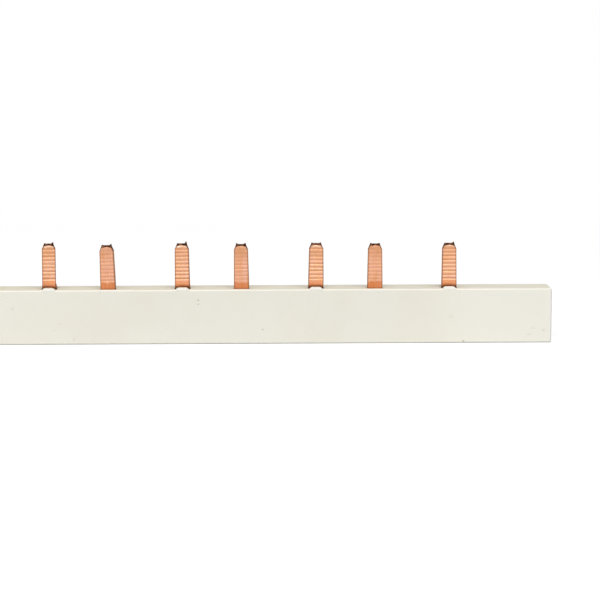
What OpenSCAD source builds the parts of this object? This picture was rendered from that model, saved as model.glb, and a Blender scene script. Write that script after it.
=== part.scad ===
// Two-pole pin comb busbar: two stamped copper combs in one moulded insulating
// housing, closed from below by a snap-in strip and at both ends by plug-in caps.
// Frame: origin at the middle of the underside, +X along the bar towards its
// right end, -Y towards its plain front face, +Z up along the pins.

/* [Bar] */
// Number of two-module ways along the bar
ways = 6; // [2:1:12]
// Length of one way: two 18 mm modules of a distribution board
way_pitch = 36; // [34:0.5:40]
// Depth of the housing, front face to rear face
housing_d = 9; // [8.6:0.1:10]
// Height of the housing, without the pins
housing_h = 14.8; // [14:0.1:16]
// Thickness of the front and rear walls
wall_t = 1.5; // [1.3:0.1:1.6]
// Thickness of the top wall that the pins pass through
roof_t = 1.4; // [1:0.1:1.6]
// Radius of the housing's long outer edges
edge_r = 0.35; // [0.2:0.05:0.6]

/* [Copper combs] */
// Thickness of the copper sheet
copper_t = 1.6; // [1.4:0.1:1.8]
// Height of the strip that joins the pins of one comb
strip_h = 10; // [8:0.5:10]
// Left edge of a way to the middle of its rear-comb pin
rear_pin_x = 10.1; // [8:0.1:12]
// Left edge of a way to the middle of its front-comb pin
front_pin_x = 26.05; // [24:0.05:28]
// Distance from the end of the bar to the end of a strip
strip_setback = 6.5; // [6:0.5:8]
// Front-comb pins left off at the right end
missing_front_pins = 1; // [0, 1]

/* [Pins] */
// Height of a rear-comb pin above the housing
rear_pin_h = 12.4; // [11:0.1:14]
// Height of a front-comb pin above the housing
front_pin_h = 12.4; // [11:0.1:14]
// Width of a pin where it leaves the housing
pin_foot_w = 4.1; // [4.05:0.05:4.4]
// Width of a pin above its flared foot
pin_shank_w = 4; // [3.75:0.05:4]
// Width of a pin below its tip chamfers
pin_tip_w = 3.75; // [3.4:0.05:3.75]
// Width and height of the chamfers at the corners of the tip
tip_chamfer = [0.5, 1.45];
// Slope of the crank that brings a rear-comb pin forward, from horizontal
crank_slope = 30; // [25:1:40]
// Height above the housing at which the crank turns upright
crank_top = 1.6; // [1.4:0.1:2]

/* [Serrations] */
// Number of grooves pressed across each face of a pin
grooves = 9; // [6:1:11]
// Distance from groove to groove
groove_pitch = 1; // [0.8:0.05:1.1]
// Distance from the tip down to the middle of the highest groove
top_groove_drop = 1.55; // [1.2:0.05:2]
// Depth of the grooves on the struck face of a pin
deep_groove = 0.13; // [0.08:0.01:0.18]
// Depth of the grooves on the face that lay on the anvil
faint_groove = 0.05; // [0.02:0.01:0.08]

/* [Housing details] */
// Width and height of the round-topped tongue before each rear-comb pin
tongue = [3.7, 0.55];
// Radius of the tongue's upper corners
tongue_r = 1; // [0.5:0.05:1.2]
// Gap on each side of a pin in its slot
slot_gap = 0.1; // [0.1:0.05:0.4]
// Thickness of the closing strip
closing_t = 1.4; // [1.2:0.1:1.6]
// Height of the ribs on the closing strip that carry the combs
rib_h = 0.8; // [0.6:0.1:1]
// Thickness of an end cap
cap_t = 1.8; // [1.5:0.1:2.5]
// Radius of an end cap's outer edges
cap_r = 0.6; // [0.3:0.1:0.8]
// Length of the plugs that hold an end cap in the channels
plug_l = 4; // [3:0.5:4]

/* [Hidden] */
$fn = 48;

// Small distance by which cutters pass the faces that they open
over = 0.5;
// Depth by which joined shapes run into each other
lap = 0.2;
// Depth by which a pin's fillets run into its strip
pin_root = 1;
// Play between a copper strip and the walls of its channel, on each side
play = 0.1;
// Sideways lean of the pins as found, in degrees, left to right from the bar's
// left end, and what each lacks in height; pins past the end of a list have none
rear_lean = [0, 0, 0.5, -0.4, 0.7];
front_lean = [0, 0, -1.4, -0.5, 0.2];
rear_short = [0, 0, 0, 0.1, 0.15, 0.25];
front_short = [0, 0, 0.7, 0.35, 0.35];
// Flat share of the groove pitch at each crest, and in the bed of each groove
crest_share = 0.45;
bed_share = 0.13;
// Heights above the housing between which a pin's flared foot narrows
foot_flare_h = [0.3, 2.2];
// Lowest height above the housing at which a straight pin is grooved
bare_foot_h = 0.5;
// Lead-in at the tip, measured through the thickness
tip_lead = 0.3;
// Gap between a tongue and the opening behind it
tongue_gap = 0.2;
// Depth by which a tongue reaches down into the front wall
tongue_root = 1;
// Play left at the sides of an end cap's plugs, and above them
plug_play = [0.05, 0.3];
// Radius and height of the snap bead along the closing strip
bead_r = 0.25;
bead_z = closing_t * 0.6;

body_l = ways * way_pitch;
channel_w = copper_t + 2 * play;
front_channel_y = -housing_d / 2 + wall_t;
rear_channel_y = housing_d / 2 - wall_t - channel_w;
channel_top = housing_h - roof_t;
front_plane_y = front_channel_y + play;
rear_plane_y = rear_channel_y + play;
strip_z = closing_t + rib_h;
strip_top = strip_z + strip_h;
strip_l = body_l + 2 * cap_t - 2 * strip_setback;
slot_w = pin_foot_w + 2 * slot_gap;

// Middle of the pins along X, one list for each comb
rear_pins = [for (i = [0 : ways - 1]) -body_l / 2 + i * way_pitch + rear_pin_x];
front_pins = [for (i = [0 : ways - 1 - missing_front_pins])
              -body_l / 2 + i * way_pitch + front_pin_x];

function nth(list, i) = i < len(list) ? list[i] : 0;

// Points on an arc round c, from angle a0 to a1
function arc(c, r, a0, a1, steps = 5) =
    [for (k = [0 : steps]) let (a = a0 + (a1 - a0) * k / steps)
     c + r * [cos(a), sin(a)]];

// One serrated face from the foot up: flat crests at face_y, with grooves of the
// given depth between them, cut to the side that inward points to, none below foot_z
function serrated(face_y, depth, inward, tip_z, foot_z) =
    let (mouth = (1 - crest_share) * groove_pitch / 2, bed = bed_share * groove_pitch / 2,
         floor_y = face_y + inward * depth, top_z = tip_z - top_groove_drop,
         count = min(grooves, 1 + floor((top_z - mouth - foot_z) / groove_pitch)))
    [for (k = [count - 1 : -1 : 0])
         let (z = top_z - k * groove_pitch)
         each [[face_y, z - mouth], [floor_y, z - bed],
               [floor_y, z + bed], [face_y, z + mouth]]];

function reversed(list) = [for (k = [len(list) - 1 : -1 : 0]) list[k]];

// Serrated upright part of a pin seen from its side, up one face and down the other
function pin_side(tip_z, foot_z, front_depth, back_depth) =
    let (y = front_plane_y, back_y = front_plane_y + copper_t)
    concat(serrated(y, front_depth, 1, tip_z, foot_z),
           [[y, tip_z - 2 * tip_lead], [y + tip_lead, tip_z],
            [back_y - tip_lead, tip_z], [back_y, tip_z - 2 * tip_lead]],
           reversed(serrated(back_y, back_depth, -1, tip_z, foot_z)));

// Solid of a side outline given in Y and Z, w wide along X about x = 0
module across(w) {
    rotate([90, 0, 90]) linear_extrude(w, center = true) children();
}

// Solid of a front outline given in X and Z, through the whole depth
module through_depth() {
    rotate([90, 0, 0]) linear_extrude(2 * housing_d, center = true) children();
}

// Rectangle with four round corners, in its own plane
module round_rectangle(w, h, r) {
    translate([-w / 2 + r, 0]) square([w - 2 * r, h]);
    translate([-w / 2, r]) square([w, h - 2 * r]);
    for (x = [-w / 2 + r, w / 2 - r], y = [r, h - r]) translate([x, y]) circle(r);
}

// Front outline of a pin: fillets at the strip, a foot that narrows into the
// shank, a slight taper, and chamfers at the corners of the tip
module pin_outline(tip_z) {
    fillet_r = 0.7;
    root = pin_foot_w / 2 + fillet_r;
    right = concat(
        [[root, strip_top - pin_root]],
        arc([root, strip_top + fillet_r], fillet_r, 270, 180, 4),
        [[pin_foot_w / 2, housing_h + foot_flare_h[0]],
         [pin_shank_w / 2, housing_h + foot_flare_h[1]],
         [pin_tip_w / 2, tip_z - tip_chamfer[1]],
         [pin_tip_w / 2 - tip_chamfer[0], tip_z]]);
    polygon(concat(right, [for (p = reversed(right)) [-p[0], p[1]]]));
}

module strip(y) {
    translate([-strip_l / 2, y, strip_z]) cube([strip_l, copper_t, strip_h]);
}

module straight_pin(tip_z) {
    intersection() {
        across(2 * pin_foot_w)
            polygon(concat([[front_plane_y, strip_top - pin_root]],
                           pin_side(tip_z, housing_h + bare_foot_h, faint_groove, deep_groove),
                           [[front_plane_y + copper_t, strip_top - pin_root]]));
        through_depth() pin_outline(tip_z);
    }
}

// A pin of the rear comb rises from its strip, runs forward over the front comb
// and turns upright in the same plane as the front comb's pins
module cranked_pin(tip_z) {
    turn = 90 - crank_slope;
    inner_r = 0.5;
    outer_r = inner_r + copper_t;
    upper = [front_plane_y + outer_r, housing_h + crank_top];
    lower_y = rear_plane_y - inner_r;
    run = lower_y - upper[0] + (inner_r + outer_r) * cos(turn);
    rise = run * tan(crank_slope) + (inner_r + outer_r) * sin(turn);
    lower = [lower_y, upper[1] - rise];
    intersection() {
        across(2 * pin_foot_w)
            polygon(concat(
                [[rear_plane_y, strip_top - pin_root]],
                arc(lower, inner_r, 0, turn),
                arc(upper, outer_r, 180 + turn, 180),
                pin_side(tip_z, upper[1], deep_groove, faint_groove),
                arc(upper, inner_r, 180, 180 + turn),
                arc(lower, outer_r, turn, 0),
                [[rear_plane_y + copper_t, strip_top - pin_root]]));
        through_depth() pin_outline(tip_z);
    }
}

module housing() {
    color("ivory") difference() {
        union() {
            across(body_l) round_rectangle(housing_d, housing_h, edge_r);
            tongues();
        }
        for (y = [front_channel_y, rear_channel_y])
            translate([-body_l / 2 - over, y, -over])
                cube([body_l + 2 * over, channel_w, channel_top + over]);
        closing_seat();
        for (x = front_pins) pin_slot(x, channel_w, channel_top - over);
        for (x = rear_pins)
            pin_slot(x, rear_channel_y + channel_w - front_channel_y, -over);
    }
}

// Tongues of the front wall that screen the foot of each cranked pin
module tongues() {
    for (x = rear_pins)
        translate([x, front_channel_y - tongue_gap, channel_top - tongue_root])
            rotate([90, 0, 0]) linear_extrude(wall_t - tongue_gap)
                round_rectangle(tongue[0], tongue_root + roof_t + tongue[1], tongue_r);
}

// Opening for a pin, from the height z up through the top wall
module pin_slot(x, depth, z) {
    translate([x - slot_w / 2, front_channel_y, z])
        cube([slot_w, depth, housing_h + over - z]);
}

// Space between the walls that the closing strip snaps into
module closing_seat() {
    seat_d = housing_d - 2 * wall_t;
    across(body_l + 2 * over) {
        translate([-seat_d / 2, -over]) square([seat_d, closing_t + over]);
        for (y = [-seat_d / 2, seat_d / 2]) translate([y, bead_z]) circle(bead_r);
    }
}

module closing_strip() {
    seat_d = housing_d - 2 * wall_t;
    color("oldlace") across(body_l) {
        translate([-seat_d / 2, 0]) square([seat_d, closing_t]);
        for (y = [-seat_d / 2, seat_d / 2]) translate([y, bead_z]) circle(bead_r);
        for (y = [front_plane_y, rear_plane_y])
            translate([y, closing_t - lap]) square([copper_t, rib_h + lap]);
    }
}

module front_comb() {
    color("peru") {
        strip(front_plane_y);
        for (i = [0 : len(front_pins) - 1])
            lean_pin(front_pins[i], nth(front_lean, i))
                straight_pin(housing_h + front_pin_h - nth(front_short, i));
    }
}

module rear_comb() {
    color("peru") {
        strip(rear_plane_y);
        for (i = [0 : len(rear_pins) - 1])
            lean_pin(rear_pins[i], nth(rear_lean, i))
                cranked_pin(housing_h + rear_pin_h - nth(rear_short, i));
    }
}

// Sets a pin at x, leaning sideways about its foot
module lean_pin(x, angle) {
    translate([x, 0, housing_h]) rotate([0, angle, 0])
        translate([0, 0, -housing_h]) children();
}

// Outline of a cap's plate from low to high, its outer corners rounded; the low
// corner only if both is true
module cap_outline(side, low, high, both) {
    outline = concat([[0, low]],
                     both ? arc([cap_t - cap_r, low + cap_r], cap_r, 270, 360) : [[cap_t, low]],
                     arc([cap_t - cap_r, high - cap_r], cap_r, 0, 90),
                     [[0, high]]);
    polygon([for (p = outline) [side * p[0], p[1]]]);
}

// Cap at one end: a plate in the outline of the housing with a plug for each
// channel; side is -1 at the left end and 1 at the right end
module end_cap(side) {
    plug_h = channel_top - plug_play[1] - strip_z;
    translate([side * body_l / 2, 0, 0]) intersection() {
        across(2 * cap_t) round_rectangle(housing_d, housing_h, edge_r);
        through_depth() cap_outline(side, 0, housing_h, false);
        linear_extrude(housing_h) cap_outline(side, -housing_d / 2, housing_d / 2, true);
    }
    for (y = [front_channel_y, rear_channel_y])
        translate([side * (body_l - plug_l + lap) / 2, y + plug_play[0], strip_z])
            across(plug_l + lap) square([channel_w - 2 * plug_play[0], plug_h]);
}

module end_cap_left() { color("ivory") end_cap(-1); }

module end_cap_right() { color("ivory") end_cap(1); }

housing();
closing_strip();
front_comb();
rear_comb();
end_cap_left();
end_cap_right();
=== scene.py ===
"""Looks of the two-pole pin comb busbar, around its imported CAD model.

Sizes are in millimetres and turned into metres where meshes are made.
The bar runs along X, its plain front face looks along -Y, its pins stand along +Z.
"""
import math
import random

import bmesh
import bpy
from mathutils import Matrix, Vector

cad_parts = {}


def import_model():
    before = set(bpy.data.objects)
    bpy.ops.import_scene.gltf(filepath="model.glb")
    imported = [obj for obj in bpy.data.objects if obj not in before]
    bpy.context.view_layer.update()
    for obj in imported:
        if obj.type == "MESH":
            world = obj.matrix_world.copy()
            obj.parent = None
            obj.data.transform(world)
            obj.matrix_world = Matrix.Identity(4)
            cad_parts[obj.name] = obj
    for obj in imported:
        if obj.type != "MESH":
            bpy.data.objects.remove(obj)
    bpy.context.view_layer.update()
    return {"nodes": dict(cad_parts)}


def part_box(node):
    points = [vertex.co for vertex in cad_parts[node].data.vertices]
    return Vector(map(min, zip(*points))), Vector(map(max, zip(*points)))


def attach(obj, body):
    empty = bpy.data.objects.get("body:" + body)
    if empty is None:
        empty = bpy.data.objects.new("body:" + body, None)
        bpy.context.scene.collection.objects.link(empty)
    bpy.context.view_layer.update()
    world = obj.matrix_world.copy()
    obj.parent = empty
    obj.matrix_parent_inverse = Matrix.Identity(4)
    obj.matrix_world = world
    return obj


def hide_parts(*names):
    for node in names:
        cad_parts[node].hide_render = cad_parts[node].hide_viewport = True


MM = 0.001

# ---------------------------------------------------------------- sizes, as in the CAD
WAY_PITCH = 36.0
REAR_PIN_X = 10.1
FRONT_PIN_X = 26.05
HOUSING_H = 14.8
COPPER_T = 1.6
PIN_PLANE_Y = -2.9
REAR_PLANE_Y = 1.3
STRIP_Z = 2.2
STRIP_TOP = 12.2
STRIP_HALF_L = 103.3
REAR_PIN_H = 12.4
FRONT_PIN_H = 12.4
PIN_FOOT_W = 4.1
PIN_SHANK_W = 4.0
PIN_TIP_W = 3.75
TIP_CHAMFER_W = 0.5
TIP_CHAMFER_H = 1.45
TIP_LEAD = 0.3
FOOT_FLARE_H = (0.3, 2.2)
CRANK_SLOPE = math.radians(30)
CRANK_TOP = 1.6
CRANK_INNER_R = 0.5
GROOVES = 9
GROOVE_PITCH = 1.0
TOP_GROOVE_DROP = 1.55
DEEP_GROOVE = 0.13
FAINT_GROOVE = 0.05
TONGUE_W = 3.7
TONGUE_H = 0.55
TONGUE_R = 1.0

# ---------------------------------------------------------------- pins, as found
# How far the pins' chamfers are battered in at the tip
BATTERED = 0.12
# How much is left of the grooves next to the tip, which are worn, by their number from the tip
WORN_GROOVES = {0: 0.5, 1: 0.6, 2: 0.8}
# Half the breadth of a groove that is full depth, and half its breadth at the face
GROOVE_FLOOR = 0.05
GROOVE_MOUTH = 0.36
# How far a groove may be off its place, how much it may tilt, and how deep it may be
GROOVE_OFF = 0.04
GROOVE_TILT = 0.02
GROOVE_STRENGTH = (0.6, 1.15)
# Depth from which on a groove its painted shade is in full
COLOURED_DEPTH = 0.09
# How much narrower each side of a cranked pin is behind, where it runs down its slope, and the
# distances behind the pins' plane over which that comes about
SLOPE_NARROWER = 0.25
SLOPE_NARROWS = (0.3, 1.8)
# Radii of a pin's edges in front and behind
FRONT_EDGE_R = 0.2
BACK_EDGE_R = 0.07
# Height over which a burr rises, and the share of the half width where it starts and is whole
BURR_RISE = 0.5
BURR_SHARE = (0.55, 0.95)
# Heights above the housing between which a twisted pin takes up its twist
TWIST_RISE = (0.2, 2.5)
# Height of the dark cover of a tip, in its middle and what comes on top at its sides
TIP_COVER_H = 0.52
TIP_COVER_SIDES = 0.24
TIP_COVER_FADE = (0.0, 0.2)
# How dark the left and right chamfers are, and the heights over which that starts
DARK_CHAMFERS = (0.5, 0.8)
DARK_CHAMFER_RISE = (-0.1, 0.3)
# The painted highlight below the cover: heights against the cover's lower end over which it
# comes and goes, and the share of the half width over which it fades
GLINT_RISE = (-0.4, -0.22)
GLINT_END = (0.0, 0.12)
GLINT_SHARE = (0.6, 0.9)
# Distances from a pin's side over which its dark line fades
SHEARED_LINE = (0.09, 0.32)
# Painted shade round a tongue: its strength, the distances from the tongue over which it fades,
# what is added to them low down, and the height over which that is lost
RIM_STRENGTH = 0.72
RIM_FADE = (0.18, 0.42)
RIM_FADE_LOW = (0.2, 0.28)
RIM_LOW_H = 0.8
# Painted shade at the foot of a straight pin: its strength and its height
FOOT_STRENGTH = 0.6
FOOT_DARK_H = 0.3
# Each pin from the left: lean sideways and twist about the upright, in degrees, how much slimmer
# the shank is, what the height lacks, and how far the burrs at the tip's left and right
# corners stand up
REAR_PINS = [(0, 0, 0, 0, 0.1, 0.3), (0, 0, 0, 0, 0.05, 0.4), (0.5, 6.5, 0.33, 0, 0.08, 0.42),
             (-0.4, 0, 0, 0.1, 0.05, 0.55), (0.7, 2, -0.1, 0.15, 0.12, 0.2),
             (0, 0, 0, 0.25, 0.0, 0.3)]
FRONT_PINS = [(0, 0, 0, 0, 0.3, 0.3), (0, 0, 0, 0, 0.2, 0.4), (-1.4, -2, -0.05, 0.5, 0.12, 0.32),
              (-0.5, 0, -0.05, 0.35, 0.3, 0.3), (0.2, 0, -0.08, 0.35, 0.15, 0.15)]

# ---------------------------------------------------------------- how finely the pins are made
# Distance between rings up a pin's shank
RING_STEP = 0.07
# Points from the middle of a face to its edge, round an edge, and along a side
HALF_ROW = 9
EDGE_STEPS = 4
SIDE_STEPS = 3
# Rings round the lower bend, along the slope and round the upper bend
LOWER_BEND_STEPS = 8
SLOPE_STEPS = 8
UPPER_BEND_STEPS = 12
# Slopes within this angle of the upright, in radians, belong to the grooved shank
UPRIGHT_WITHIN = 0.3
# Edges sharper than this are shaded hard on the combs, and rounded on the plastic
SHARP_ANGLE = math.radians(50)
ROUNDED_ANGLE = math.radians(40)

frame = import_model()

LEFT_END_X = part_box("housing")[0].x / MM


# ---------------------------------------------------------------- node helpers
class Nodes:
    """A material's node tree, with short ways to add and join nodes."""

    def __init__(self, name):
        self.material = bpy.data.materials.new(name)
        self.material.use_nodes = True
        self.tree = self.material.node_tree
        self.shader = self.tree.nodes["Principled BSDF"]

    def add(self, kind, **settings):
        node = self.tree.nodes.new(kind)
        for key, value in settings.items():
            setattr(node, key, value)
        return node

    def join(self, source, target):
        self.tree.links.new(source, target)

    def put(self, value, socket):
        """Joins a socket, or sets a plain value."""
        if hasattr(value, "is_output"):
            self.join(value, socket)
        else:
            socket.default_value = value

    def math(self, operation, a, b):
        node = self.add("ShaderNodeMath", operation=operation)
        self.put(a, node.inputs[0])
        self.put(b, node.inputs[1])
        return node.outputs[0]

    def span(self, value, low, high, to_low=0.0, to_high=1.0):
        """A smooth step from to_low at low to to_high at high."""
        node = self.add("ShaderNodeMapRange", interpolation_type="SMOOTHSTEP")
        self.put(value, node.inputs["Value"])
        node.inputs["From Min"].default_value = low
        node.inputs["From Max"].default_value = high
        node.inputs["To Min"].default_value = to_low
        node.inputs["To Max"].default_value = to_high
        return node.outputs["Result"]

    def blend(self, amount, a, b):
        node = self.add("ShaderNodeMix", data_type="RGBA")
        self.put(amount, node.inputs["Factor"])
        for value, socket in ((a, node.inputs[6]), (b, node.inputs[7])):
            self.put(value if hasattr(value, "is_output") else (*value, 1), socket)
        return node.outputs[2]

    def place(self):
        """Where on the part a point is: x, y and z in metres."""
        axes = self.add("ShaderNodeSeparateXYZ")
        self.join(self.add("ShaderNodeTexCoord").outputs["Object"], axes.inputs[0])
        return axes.outputs

    def noise(self, scale_per_mm, detail, roughness=0.55, stretch=(1, 1, 1)):
        """Noise with its grains per millimetre, longer along axes with a small stretch."""
        place = self.add("ShaderNodeTexCoord").outputs["Object"]
        mapping = self.add("ShaderNodeMapping")
        mapping.inputs["Scale"].default_value = [s * scale_per_mm / MM for s in stretch]
        self.join(place, mapping.inputs["Vector"])
        node = self.add("ShaderNodeTexNoise")
        node.inputs["Scale"].default_value = 1.0
        node.inputs["Detail"].default_value = detail
        node.inputs["Roughness"].default_value = roughness
        self.join(mapping.outputs[0], node.inputs["Vector"])
        return node.outputs["Fac"]

    def distance_to(self, point_mm, stretch=(1, 1, 1)):
        """Distance in millimetres from a point on the part, divided by stretch on each axis."""
        place = self.add("ShaderNodeTexCoord").outputs["Object"]
        apart = self.add("ShaderNodeVectorMath", operation="SUBTRACT")
        self.join(place, apart.inputs[0])
        apart.inputs[1].default_value = [p * MM for p in point_mm]
        scaled = self.add("ShaderNodeVectorMath", operation="MULTIPLY")
        self.join(apart.outputs[0], scaled.inputs[0])
        scaled.inputs[1].default_value = [1 / (MM * s) for s in stretch]
        length = self.add("ShaderNodeVectorMath", operation="LENGTH")
        self.join(scaled.outputs[0], length.inputs[0])
        return length.outputs["Value"]

    def bump(self, height, strength, distance_mm, normal=None):
        node = self.add("ShaderNodeBump")
        node.inputs["Strength"].default_value = strength
        node.inputs["Distance"].default_value = distance_mm * MM
        self.join(height, node.inputs["Height"])
        if normal:
            self.join(normal, node.inputs["Normal"])
        return node.outputs["Normal"]


# ---------------------------------------------------------------- plastic
# Marks on the front face: place along X and Z, size along X and Z, strength
FRONT_MARKS = [
    (14.4, 12.0, 0.28, 0.22, 0.55), (14.4, 10.9, 0.26, 0.2, 0.45), (31.7, 3.9, 0.3, 0.3, 0.35),
    (-35.6, 9.8, 0.5, 0.35, 0.15), (-23.0, 5.6, 0.3, 0.25, 0.12),
    (-24.6, 3.9, 0.4, 0.2, 0.1), (-19.2, 1.5, 0.14, 0.6, 0.25), (107.6, 3.4, 0.45, 0.4, 0.2),
    (104.6, 4.0, 0.6, 0.35, 0.12), (103.7, 2.3, 0.7, 0.3, 0.12), (82.5, 7.3, 0.8, 0.6, 0.08),
    (85.9, 0.5, 0.4, 0.35, 0.4),
]
FRONT_Y = -4.5
MARK = (0.34, 0.30, 0.2)
# Painted light along the edges of the plastic: highlights on the upper front edge, the rear
# edge and the tongues, shade on the ends
UPPER_EDGE_HIGHLIGHT = (0.99, 0.95, 0.845)
REAR_EDGE_SHEEN = (0.95, 0.93, 0.88)
END_EDGE_SHADE = (0.82, 0.82, 0.84)
TONGUE_HIGHLIGHT = (1.0, 0.98, 0.92)


def plastic(name, tone):
    """Cream white moulded plastic: faint mottling, fine grain, dust specks and small marks, with
    painted light: paler towards both ends, painted warm shade on top, painted highlights along the
    upper front edge, the rear edge and the tongues, and painted shade along the lower edge and
    ends."""
    n = Nodes(name)
    deep = [tone[0] * 0.975, tone[1] * 0.97, tone[2] * 0.95]
    mottled = n.blend(n.span(n.noise(0.05, 4), 0.35, 0.65), deep, tone)
    yellowed = [tone[0] * 0.995, tone[1] * 0.98, tone[2] * 0.92]
    base = n.blend(n.span(n.noise(0.02, 2), 0.52, 0.7, 0, 0.3), mottled, yellowed)
    along, back, height = n.place()
    # Painted light, paler towards both ends of the stretch the camera sees
    painted_light_at_ends = n.math("MAXIMUM", n.span(along, 68 * MM, 92 * MM, 0.0, 0.9),
                   n.span(along, 5 * MM, -45 * MM, 0.0, 0.45))
    base = n.blend(painted_light_at_ends, base, [tone[0] * 1.05, tone[1] * 1.05, tone[2] * 1.05])
    facing = n.add("ShaderNodeSeparateXYZ")
    n.join(n.add("ShaderNodeNewGeometry").outputs["Normal"], facing.inputs[0])
    side, depth, rise = facing.outputs
    front = n.math("MULTIPLY", depth, -1.0)
    # Painted warm shade on the top, less so to the right, and a painted sheen along its rear edge
    painted_warmth_along = n.span(along, -60 * MM, 110 * MM, 1.0, 0.55)
    top = n.math("MULTIPLY", n.span(rise, 0.85, 0.97), painted_warmth_along)
    base = n.blend(top, base, [tone[0] * 1.05, tone[1] * 0.99, tone[2] * 0.87])
    rear_edge_sheen = n.math("MULTIPLY", top, n.span(back, 1.5 * MM, 4.4 * MM, 0.0, 0.4))
    base = n.blend(rear_edge_sheen, base, REAR_EDGE_SHEEN)
    # Rounded edges face two ways at once; the upper front one gets a painted highlight
    upper_edge_highlight = n.span(n.math("MINIMUM", front, rise), 0.03, 0.25)
    # Painted highlight on the tongues and along the top of the front face
    tongue = n.math("MULTIPLY", n.span(height, (HOUSING_H - 0.15) * MM, (HOUSING_H + 0.1) * MM),
                    n.span(front, 0.0, 0.5))
    base = n.blend(upper_edge_highlight, base, UPPER_EDGE_HIGHLIGHT)
    base = n.blend(tongue, base, TONGUE_HIGHLIGHT)
    # Painted shade along the lower front edge
    lower_edge_shade = n.span(n.math("MINIMUM", front, n.math("MULTIPLY", rise, -1.0)), 0.1, 0.4, 0, 0.8)
    base = n.blend(lower_edge_shade, base, [c * 0.63 for c in tone])
    # Painted shade on the rounded edges at the ends
    end_edge_shade = n.span(n.math("MINIMUM", front, side), 0.1, 0.5, 0, 0.6)
    base = n.blend(end_edge_shade, base, END_EDGE_SHADE)
    dust = n.span(n.noise(1.6, 1, 0.4), 0.73, 0.78, 0, 0.2)
    base = n.blend(dust, base, [c * 0.62 for c in tone])
    for x, z, wide, high, strength in FRONT_MARKS:
        near = n.span(n.distance_to((x, FRONT_Y, z), (wide, 0.3, high)), 1.3, 0.5, 0, strength)
        base = n.blend(near, base, MARK)
    n.join(base, n.shader.inputs["Base Color"])
    n.join(n.span(n.noise(0.3, 4), 0.3, 0.7, 0.5, 0.62), n.shader.inputs["Roughness"])
    n.shader.inputs["Specular IOR Level"].default_value = 0.25
    grain = n.bump(n.noise(4.0, 2), 0.12, 0.02)
    waves = n.bump(n.noise(0.12, 2), 0.12, 0.12, grain)
    n.join(waves, n.shader.inputs["Normal"])
    return n.material


# ---------------------------------------------------------------- copper
SHEARED = (0.26, 0.11, 0.055)
SHADED_FOOT = (0.07, 0.025, 0.012)
TIP_COVER = (0.035, 0.01, 0.004)
GLINT = (0.95, 0.78, 0.65)
# Places along X between which the painted highlight under the tips fades, and what is left of it
GLINT_FADES = (10, 70)
GLINT_LEFT = 0.25
# Heights above the housing between which the copper turns dull towards the tip
DULL_RISE = (7.5, 10)


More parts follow.
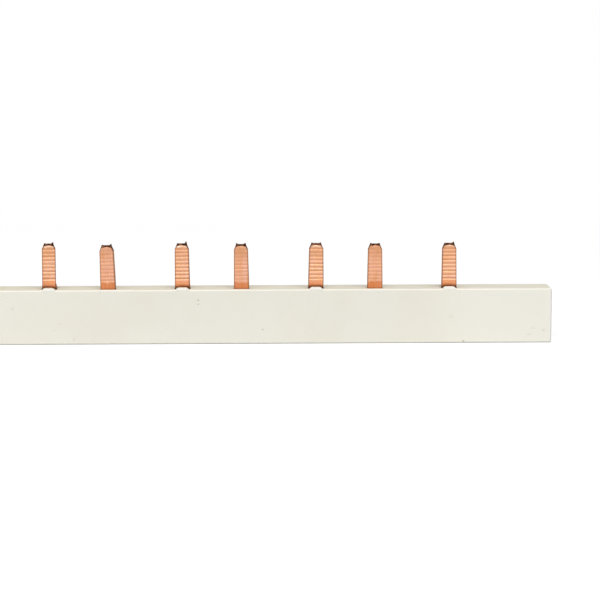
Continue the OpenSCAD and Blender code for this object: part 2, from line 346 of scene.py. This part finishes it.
def copper(name, crest, groove, root, root_h, stained, glint):
    """Bare stamped copper: darker below root_h, stained orange, with a painted highlight under the
    tip.

    The mesh says where. Its colour attribute holds painted shade in the grooves in red, the dark
    sheared edges in green and painted shade at the foot in blue, with the dark tip in alpha, and
    its number "pale" is the painted highlight under the tip.
    """
    n = Nodes(name)
    marks_and_shade = n.add("ShaderNodeAttribute", attribute_name="marks_and_shade")
    parts = n.add("ShaderNodeSeparateColor")
    n.join(marks_and_shade.outputs["Color"], parts.inputs[0])
    in_groove, sheared, foot = parts.outputs
    tip = marks_and_shade.outputs["Alpha"]
    pale = n.add("ShaderNodeAttribute", attribute_name="pale").outputs["Fac"]
    # Pink and orange patches, fine streaks and scratches along the pin
    pink = [crest[0] * 0.99, crest[1] * 0.96, crest[2] * 1.15]
    base = n.blend(n.span(n.noise(0.7, 4), 0.4, 0.62), crest, pink)
    deep_orange = [crest[0] * 0.9, crest[1] * 0.8, crest[2] * 0.66]
    base = n.blend(n.span(n.noise(0.8, 2, 0.5, (1, 1, 0.2)), 0.5, 0.68, 0, stained), base,
                   deep_orange)
    streaks = n.noise(5.0, 2, 0.5, (1, 1, 0.08))
    base = n.blend(n.span(streaks, 0.35, 0.7, 0.0, 0.3), base, groove)
    scratches = n.span(n.noise(2.2, 1, 0.4, (1, 1, 0.04)), 0.52, 0.66, 0.0, 0.7 * stained)
    base = n.blend(scratches, base, [crest[0] * 0.97, crest[1] * 1.08, crest[2] * 1.4])
    along, _, height = n.place()
    # Duller towards the tip, and darker with a ragged border above the foot
    dull_top = n.math("MULTIPLY", n.span(n.noise(0.6, 3), 0.3, 0.55, 0.2, 0.7),
                      n.span(height, *((HOUSING_H + rise) * MM for rise in DULL_RISE)))
    base = n.blend(dull_top, base, groove)
    ragged = n.math("ADD", height,
                    n.span(n.noise(0.8, 2), 0.3, 0.7, 0.25 * MM, -0.25 * MM))
    below = n.span(ragged, (HOUSING_H + root_h + 0.4) * MM, (HOUSING_H + root_h) * MM)
    streaky = n.math("MULTIPLY", below, n.span(streaks, 0.3, 0.6, 0.65, 0.95))
    base = n.blend(streaky, base, root)
    # What the mesh marks, starting with painted shade in the grooves
    groove_shade = n.math("MULTIPLY", in_groove, n.span(n.noise(1.1, 2), 0.35, 0.62, 0.25, 1.0))
    base = n.blend(groove_shade, base, groove)
    # Painted highlight under the tip
    under_tip = n.math("MULTIPLY", pale, n.span(n.noise(0.9, 2), 0.35, 0.6, 0.3, 1.0))
    by_place = n.span(along, GLINT_FADES[0] * MM, GLINT_FADES[1] * MM, glint,
                      glint * GLINT_LEFT)
    base = n.blend(n.math("MULTIPLY", under_tip, by_place), base, GLINT)
    base = n.blend(n.math("MULTIPLY", sheared, 0.85), base, SHEARED)
    # Painted shade at the foot
    base = n.blend(foot, base, SHADED_FOOT)
    tip_cover = n.math("MULTIPLY", tip, n.span(n.noise(1.5, 3), 0.35, 0.55, 0.72, 1.0))
    base = n.blend(tip_cover, base, TIP_COVER)
    n.join(base, n.shader.inputs["Base Color"])
    n.shader.inputs["Metallic"].default_value = 1.0
    rough = n.math("ADD", n.span(n.noise(2.2, 3), 0.3, 0.7, 0.42, 0.52),
                   n.math("MULTIPLY", n.math("MAXIMUM", sheared, tip), 0.15))
    n.join(rough, n.shader.inputs["Roughness"])
    fine = n.bump(streaks, 0.2, 0.03)
    pitted = n.bump(n.noise(5.0, 3), 0.12, 0.03, fine)
    n.join(pitted, n.shader.inputs["Normal"])
    return n.material


# ---------------------------------------------------------------- pins
def smooth(value, low, high):
    """0 up to low, 1 from high on, and a smooth rise between them."""
    t = min(max((value - low) / (high - low), 0.0), 1.0)
    return t * t * (3 - 2 * t)


def straight_path(tip_z):
    """Stations up the middle of a straight pin: y, z and the slope of the path."""
    low = STRIP_TOP - 1
    count = math.ceil((tip_z - low) / RING_STEP)
    y = PIN_PLANE_Y + COPPER_T / 2
    return [(y, low + (tip_z - low) * k / count, math.pi / 2) for k in range(count + 1)]


def cranked_path(tip_z):
    """Stations up a cranked pin: upright, bent forward, up a slope and upright again."""
    bend_r = CRANK_INNER_R + COPPER_T / 2
    turn = math.pi / 2 - CRANK_SLOPE
    upper = (PIN_PLANE_Y + COPPER_T / 2 + bend_r, HOUSING_H + CRANK_TOP)
    lower_y = REAR_PLANE_Y + COPPER_T / 2 - bend_r
    run = lower_y - upper[0] + 2 * bend_r * math.cos(turn)
    rise = run * math.tan(CRANK_SLOPE) + 2 * bend_r * math.sin(turn)
    lower = (lower_y, upper[1] - rise)
    stations = [(lower[0] + bend_r, STRIP_TOP - 1, math.pi / 2)]
    for k in range(LOWER_BEND_STEPS + 1):
        a = turn * k / LOWER_BEND_STEPS
        stations.append((lower[0] + bend_r * math.cos(a), lower[1] + bend_r * math.sin(a),
                         math.pi / 2 + a))
    start = (upper[0] - bend_r * math.cos(turn), upper[1] - bend_r * math.sin(turn))
    end = stations[-1]
    for k in range(1, SLOPE_STEPS):
        t = k / SLOPE_STEPS
        stations.append((end[0] + (start[0] - end[0]) * t, end[1] + (start[1] - end[1]) * t,
                         math.pi / 2 + turn))
    for k in range(UPPER_BEND_STEPS + 1):
        a = turn * (1 - k / UPPER_BEND_STEPS)
        stations.append((upper[0] - bend_r * math.cos(a), upper[1] - bend_r * math.sin(a),
                         math.pi / 2 + a))
    count = math.ceil((tip_z - upper[1]) / RING_STEP)
    y = PIN_PLANE_Y + COPPER_T / 2
    stations += [(y, upper[1] + (tip_z - upper[1]) * k / count, math.pi / 2)
                 for k in range(1, count + 1)]
    return stations


def half_width(z, tip_z, slimmer):
    """Half width of a pin at the height z: flared foot, tapered shank, chamfered tip."""
    shank_w = PIN_SHANK_W - slimmer
    below_tip_w = min(PIN_TIP_W - slimmer / 3, shank_w)
    stations = [(HOUSING_H + FOOT_FLARE_H[0], PIN_FOOT_W),
                (HOUSING_H + FOOT_FLARE_H[1] - 3 * slimmer, shank_w),
                (tip_z - TIP_CHAMFER_H, below_tip_w),
                (tip_z, below_tip_w - 2 * TIP_CHAMFER_W - 2 * BATTERED)]
    for (low, low_w), (high, high_w) in zip(stations[:-1], stations[1:]):
        if z < high:
            share = max(z - low, 0.0) / (high - low)
            return (low_w + (high_w - low_w) * share) / 2
    return stations[-1][1] / 2


def section(half_w, front, back, front_r, back_r):
    """Points round a pin's cross section from the front's left end: x, depth and the kind."""
    points = []
    for k in range(-HALF_ROW, HALF_ROW + 1):
        points.append(((half_w - front_r) * k / HALF_ROW, -front, "front"))
    for k in range(1, EDGE_STEPS):
        a = math.pi / 2 * k / EDGE_STEPS
        points.append((half_w - front_r + front_r * math.sin(a),
                       -front + front_r * (1 - math.cos(a)), "edge"))
    for k in range(SIDE_STEPS + 1):
        points.append((half_w, (-front + front_r) + (front + back - front_r - back_r) * k
                       / SIDE_STEPS, "side"))
    for k in range(1, EDGE_STEPS):
        a = math.pi / 2 * k / EDGE_STEPS
        points.append((half_w - back_r * (1 - math.cos(a)),
                       back - back_r * (1 - math.sin(a)), "edge"))
    for k in range(HALF_ROW, -HALF_ROW - 1, -1):
        points.append(((half_w - back_r) * k / HALF_ROW, back, "back"))
    for k in range(1, EDGE_STEPS):
        a = math.pi / 2 * k / EDGE_STEPS
        points.append((-half_w + back_r - back_r * math.sin(a),
                       back - back_r * (1 - math.cos(a)), "edge"))
    for k in range(SIDE_STEPS + 1):
        points.append((-half_w, (back - back_r) - (front + back - front_r - back_r) * k
                       / SIDE_STEPS, "side"))
    for k in range(1, EDGE_STEPS):
        a = math.pi / 2 * k / EDGE_STEPS
        points.append((-half_w + front_r * (1 - math.cos(a)),
                       -front + front_r * (1 - math.sin(a)), "edge"))
    return points


def close_tip(bm, ring):
    """Closes a pin's tip with strips from front to back, which keep its burrs."""
    across = 2 * HALF_ROW
    back = len(ring) // 2
    for k in range(across):
        bm.faces.new((ring[k], ring[k + 1], ring[back + across - k - 1], ring[back + across - k]))
    bm.faces.new(ring[across:back + 1])
    bm.faces.new(ring[back + across:] + ring[:1])


def groove_at(z, x, tip_z, depth, jitter):
    """Depth of the serration at a height, with each groove a little uneven."""
    place = (tip_z - TOP_GROOVE_DROP - z) / GROOVE_PITCH
    index = round(place)
    if not 0 <= index < GROOVES:
        return 0.0
    shift, tilt, strength = jitter[index]
    strength *= WORN_GROOVES.get(index, 1.0)
    off = abs((place - index) * GROOVE_PITCH - shift - tilt * x)
    return depth * strength * (1 - smooth(off, GROOVE_FLOOR, GROOVE_MOUTH))


def add_pin(bm, marks_and_shade, pale, x0, lean, twist, slimmer, tip_z, burrs, cranked, rng):
    """One pin as rings of points up its path, closed at both ends, with its marks and painted
    light.
    """
    path = cranked_path(tip_z) if cranked else straight_path(tip_z)
    half_t = COPPER_T / 2
    jitter = [(rng.uniform(-GROOVE_OFF, GROOVE_OFF), rng.uniform(-GROOVE_TILT, GROOVE_TILT),
               rng.uniform(*GROOVE_STRENGTH)) for _ in range(GROOVES)]
    front_depth, back_depth = ((DEEP_GROOVE, FAINT_GROOVE) if cranked
                               else (FAINT_GROOVE, DEEP_GROOVE))
    lean_turn = Matrix.Rotation(math.radians(lean), 3, "Y")
    pivot = Vector((x0, 0, HOUSING_H))
    upright_y = PIN_PLANE_Y + half_t
    rings = []
    for y, z, slope in path:
        lead = max(0.0, z - (tip_z - 2 * TIP_LEAD)) / 2
        width = half_width(z, tip_z, slimmer)
        width -= SLOPE_NARROWER * smooth(y - upright_y, *SLOPE_NARROWS)
        outward = Vector((0, -math.sin(slope), math.cos(slope)))
        upright = abs(slope - math.pi / 2) < UPRIGHT_WITHIN
        turn = Matrix.Rotation(math.radians(twist) * smooth(z - HOUSING_H, *TWIST_RISE), 3, "Z")
        ring = []
        for x, depth, kind in section(width, half_t - lead, half_t - lead, FRONT_EDGE_R,
                                      BACK_EDGE_R):
            cut = 0.0
            if upright and kind in ("front", "edge") and depth < 0:
                cut = groove_at(z, x, tip_z, front_depth, jitter)
                depth += cut
            elif upright and kind in ("back", "edge") and depth > 0:
                cut = groove_at(z, x, tip_z, back_depth, jitter)
                depth -= cut
            side_share = abs(x) / width
            burr = burrs[1] if x > 0 else burrs[0]
            lift = smooth(z, tip_z - BURR_RISE, tip_z) * burr * smooth(side_share, *BURR_SHARE)
            off = Vector((x, y - upright_y, z + lift)) - outward * depth
            at = Vector((x0, upright_y, 0)) + turn @ off
            at = pivot + lean_turn @ (at - pivot)
            vert = bm.verts.new(at * MM)
            sheared = sheared_share(x, width, kind)
            tip_low = tip_z - TIP_COVER_H - TIP_COVER_SIDES * side_share
            tip_dark = smooth(z - tip_low, *TIP_COVER_FADE)
            chamfer = smooth(z - (tip_z - TIP_CHAMFER_H), *DARK_CHAMFER_RISE)
            vert[marks_and_shade] = (
                min(cut / max(front_depth, COLOURED_DEPTH), 1.0),
                sheared,
                foot_shade(x, z, cranked),
                max(tip_dark, chamfer * sheared * (DARK_CHAMFERS[1] if x > 0
                                                   else DARK_CHAMFERS[0])),
            )
            middle = 1 - smooth(side_share, *GLINT_SHARE) if kind == "front" else 0.0
            vert[pale] = middle * smooth(z - tip_low, *GLINT_RISE) * (
                1 - smooth(z - tip_low, *GLINT_END))
            ring.append(vert)
        rings.append(ring)
    for low, high in zip(rings[:-1], rings[1:]):
        for k in range(len(low)):
            after = (k + 1) % len(low)
            bm.faces.new((low[k], low[after], high[after], high[k]))
    bm.faces.new(rings[0][::-1])
    close_tip(bm, rings[-1])


def sheared_share(x, half_w, kind):
    """How much of the dark sheared edge shows: the sides, and a line along the front."""
    if kind == "side":
        return 1.0
    inside = half_w - abs(x)
    return 1 - smooth(inside, *SHEARED_LINE)


def foot_shade(x, z, cranked):
    """Painted shade on the copper where a pin leaves the housing, round the tongue's top if it has
    one.
    """
    if cranked:
        across = max(abs(x) - (TONGUE_W / 2 - TONGUE_R), 0.0)
        above = max(z - (HOUSING_H + TONGUE_H - TONGUE_R), 0.0)
        off = math.hypot(across, above) - TONGUE_R
        low_down = 1 - smooth(z - HOUSING_H, 0.0, RIM_LOW_H)
        fade = [a + b * low_down for a, b in zip(RIM_FADE, RIM_FADE_LOW)]
        return RIM_STRENGTH * (1 - smooth(off, *fade))
    return FOOT_STRENGTH * (1 - smooth(z - HOUSING_H, 0.0, FOOT_DARK_H))


def add_block(bm, marks_and_shade, low, high):
    """A closed box, for the strip that joins the pins inside the housing."""
    verts = [bm.verts.new(Vector(((low, high)[i & 1][0], (low, high)[i >> 1 & 1][1],
                                  (low, high)[i >> 2 & 1][2])) * MM) for i in range(8)]
    for vert in verts:
        vert[marks_and_shade] = (0, 0, 0, 0)
    for quad in ((0, 2, 3, 1), (4, 5, 7, 6), (0, 1, 5, 4), (2, 6, 7, 3), (0, 4, 6, 2),
                 (1, 3, 7, 5)):
        bm.faces.new([verts[k] for k in quad])


def comb(name, node, pins, plane_y, cranked, pin_h, material, seed):
    """A whole copper comb: its strip and its row of pins."""
    rng = random.Random(seed)
    bm = bmesh.new()
    marks_and_shade = bm.verts.layers.float_color.new("marks_and_shade")
    pale = bm.verts.layers.float.new("pale")
    add_block(bm, marks_and_shade, (-STRIP_HALF_L, plane_y, STRIP_Z),
              (STRIP_HALF_L, plane_y + COPPER_T, STRIP_TOP))
    for x, lean, twist, slimmer, short, *burrs in pins:
        add_pin(bm, marks_and_shade, pale, x, lean, twist, slimmer, HOUSING_H + pin_h - short, burrs,
                cranked, rng)
    mesh = bpy.data.meshes.new(name)
    bm.normal_update()
    bm.to_mesh(mesh)
    bm.free()
    mesh.shade_smooth()
    piece = bpy.data.objects.new(name, mesh)
    bpy.context.scene.collection.objects.link(piece)
    mesh.materials.append(material)
    mesh.set_sharp_from_angle(angle=SHARP_ANGLE)
    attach(piece, "root")
    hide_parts(node)


def pins_along(offset, found):
    """One pin for each state found, a way apart, from the bar's left end."""
    return [(LEFT_END_X + k * WAY_PITCH + offset, *state) for k, state in enumerate(found)]


# ---------------------------------------------------------------- dressing
def dress(node, material, bevel_mm):
    """Gives a CAD node its finish and small rounded edges."""
    piece = frame["nodes"][node]
    piece.data.materials.clear()
    piece.data.materials.append(material)
    bevel = piece.modifiers.new("soft_edges", "BEVEL")
    bevel.width = bevel_mm * MM
    bevel.segments = 2
    bevel.limit_method = "ANGLE"
    bevel.angle_limit = ROUNDED_ANGLE
    bevel.harden_normals = True


CREAM = (0.865, 0.849, 0.76)
housing_finish = plastic("housing_plastic", CREAM)
closing_finish = plastic("closing_plastic", [c * 0.97 for c in CREAM])
cap_finish = plastic("cap_plastic", [c * 1.01 for c in CREAM])
dress("housing", housing_finish, 0.14)
dress("closing_strip", closing_finish, 0.1)
dress("end_cap_left", cap_finish, 0.15)
dress("end_cap_right", cap_finish, 0.15)

struck_copper = copper("struck_copper", (0.69, 0.374, 0.219), (0.57, 0.28, 0.139),
                       (0.71, 0.295, 0.135), 2.1, 0.5, 0.9)
plain_copper = copper("plain_copper", (0.69, 0.362, 0.212), (0.55, 0.26, 0.128),
                      (0.565, 0.19, 0.065), 1.6, 0.85, 0.12)
comb("rear_comb_copper", "rear_comb", pins_along(REAR_PIN_X, REAR_PINS), REAR_PLANE_Y,
     True, REAR_PIN_H, struck_copper, 3)
comb("front_comb_copper", "front_comb", pins_along(FRONT_PIN_X, FRONT_PINS), PIN_PLANE_Y,
     False, FRONT_PIN_H, plain_copper, 8)


# ---------------------------------------------------------------- studio, in metres
FLOOR_SIZE = 6
# Gap that keeps the floor out of the plane of the bar's underside
FLOOR_GAP = 0.05 * MM
# Grey of the floor, and the glow that makes it white to the camera
FLOOR_GREY = 0.6
FLOOR_GLOW = 0.6
# Distances from the bar's middle, in millimetres, over which the floor turns plain white
FLOOR_FADE = (150, 350)
# How strongly the world lights the object, against 1 where it is seen
SKY_LIGHT = 0.35


def floor():
    """Floor that looks white to the camera and to metal, and keeps the object's soft shadow."""
    bpy.ops.mesh.primitive_plane_add(size=FLOOR_SIZE, location=(0, 0, -FLOOR_GAP))
    plane = bpy.context.object
    plane.name = "studio_floor"
    n = Nodes("floor_white")
    n.shader.inputs["Base Color"].default_value = (FLOOR_GREY, FLOOR_GREY, FLOOR_GREY, 1)
    n.shader.inputs["Roughness"].default_value = 1.0
    n.shader.inputs["Specular IOR Level"].default_value = 0.0
    glow = n.add("ShaderNodeEmission")
    glow.inputs["Strength"].default_value = FLOOR_GLOW
    both = n.add("ShaderNodeAddShader")
    n.join(n.shader.outputs[0], both.inputs[0])
    n.join(glow.outputs[0], both.inputs[1])
    white = n.add("ShaderNodeEmission")
    fade = n.add("ShaderNodeMixShader")
    n.join(n.span(n.distance_to((0, 0, 0)), *FLOOR_FADE), fade.inputs[0])
    n.join(both.outputs[0], fade.inputs[1])
    n.join(white.outputs[0], fade.inputs[2])
    path = n.add("ShaderNodeLightPath")
    seen = n.math("MAXIMUM", path.outputs["Is Camera Ray"],
                  n.math("MAXIMUM", path.outputs["Is Glossy Ray"],
                         path.outputs["Is Transmission Ray"]))
    choice = n.add("ShaderNodeMixShader")
    n.join(seen, choice.inputs[0])
    n.join(n.shader.outputs[0], choice.inputs[1])
    n.join(fade.outputs[0], choice.inputs[2])
    n.join(choice.outputs[0], n.tree.nodes["Material Output"].inputs["Surface"])
    plane.data.materials.append(n.material)


def world():
    """White to the camera, to metal and to glass; a plain soft light on everything else."""
    sky = bpy.data.worlds.new("soft_white")
    bpy.context.scene.world = sky
    sky.use_nodes = True
    tree = sky.node_tree
    background = tree.nodes["Background"]
    path = tree.nodes.new("ShaderNodeLightPath")
    seen = tree.nodes.new("ShaderNodeMath")
    seen.operation = "MAXIMUM"
    glossy = tree.nodes.new("ShaderNodeMath")
    glossy.operation = "MAXIMUM"
    tree.links.new(path.outputs["Is Glossy Ray"], glossy.inputs[0])
    tree.links.new(path.outputs["Is Transmission Ray"], glossy.inputs[1])
    tree.links.new(path.outputs["Is Camera Ray"], seen.inputs[0])
    tree.links.new(glossy.outputs[0], seen.inputs[1])
    level = tree.nodes.new("ShaderNodeMapRange")
    level.inputs["To Min"].default_value = SKY_LIGHT
    level.inputs["To Max"].default_value = 1.0
    tree.links.new(seen.outputs[0], level.inputs["Value"])
    tree.links.new(level.outputs["Result"], background.inputs["Strength"])
    background.inputs["Color"].default_value = (1, 1, 1, 1)


def lamp(name, place, aim, size, power):
    """A soft rectangular lamp, in metres and watts."""
    data = bpy.data.lights.new(name, "AREA")
    data.shape = "RECTANGLE"
    data.size, data.size_y = size
    data.energy = power
    lamp_object = bpy.data.objects.new(name, data)
    bpy.context.scene.collection.objects.link(lamp_object)
    lamp_object.location = place
    lamp_object.rotation_euler = (Vector(aim) - Vector(place)).to_track_quat("-Z", "Y").to_euler()


# What the camera looks at and how far it stands off, in millimetres; its turn to the side, its
# rise and its roll, in degrees; its focal length and its sensor's width
CAMERA_TARGET = (41.80, FRONT_Y, 11.93)
CAMERA_DISTANCE = 520
CAMERA_TURNS = (0.47, 8.67, -0.19)
CAMERA_LENS = 115.83
CAMERA_SENSOR = 36


def camera():
    """Camera almost square to the front face, a little above it, by the bar's right half."""
    target = Vector(CAMERA_TARGET) * MM
    distance = CAMERA_DISTANCE * MM
    yaw, rise, roll = (math.radians(a) for a in CAMERA_TURNS)
    forward = Vector((math.sin(yaw) * math.cos(rise), math.cos(yaw) * math.cos(rise),
                      -math.sin(rise)))
    right = Vector((math.cos(yaw), -math.sin(yaw), 0))
    up = right.cross(forward)
    tilted_right = right * math.cos(roll) + up * math.sin(roll)
    tilted_up = up * math.cos(roll) - right * math.sin(roll)
    data = bpy.data.cameras.new("camera")
    data.sensor_width = CAMERA_SENSOR
    data.lens = CAMERA_LENS
    data.clip_start = 0.01
    view = bpy.data.objects.new("camera", data)
    bpy.context.scene.collection.objects.link(view)
    turn = Matrix((tilted_right, tilted_up, -forward)).transposed().to_4x4()
    view.matrix_world = Matrix.Translation(target - forward * distance) @ turn
    bpy.context.scene.camera = view


floor()
world()
lamp("key", (0.28, -0.85, 0.95), (0.06, 0, 0.01), (1.6, 1.2), 10.8)
lamp("fill", (-0.85, -0.8, 0.32), (-0.03, 0, 0.01), (0.8, 0.8), 4.4)
lamp("side", (0.5, -0.6, 0.12), (0.1, 0, 0.01), (0.4, 0.3), 0.3)
camera()
bpy.context.scene.view_settings.view_transform = "Standard"
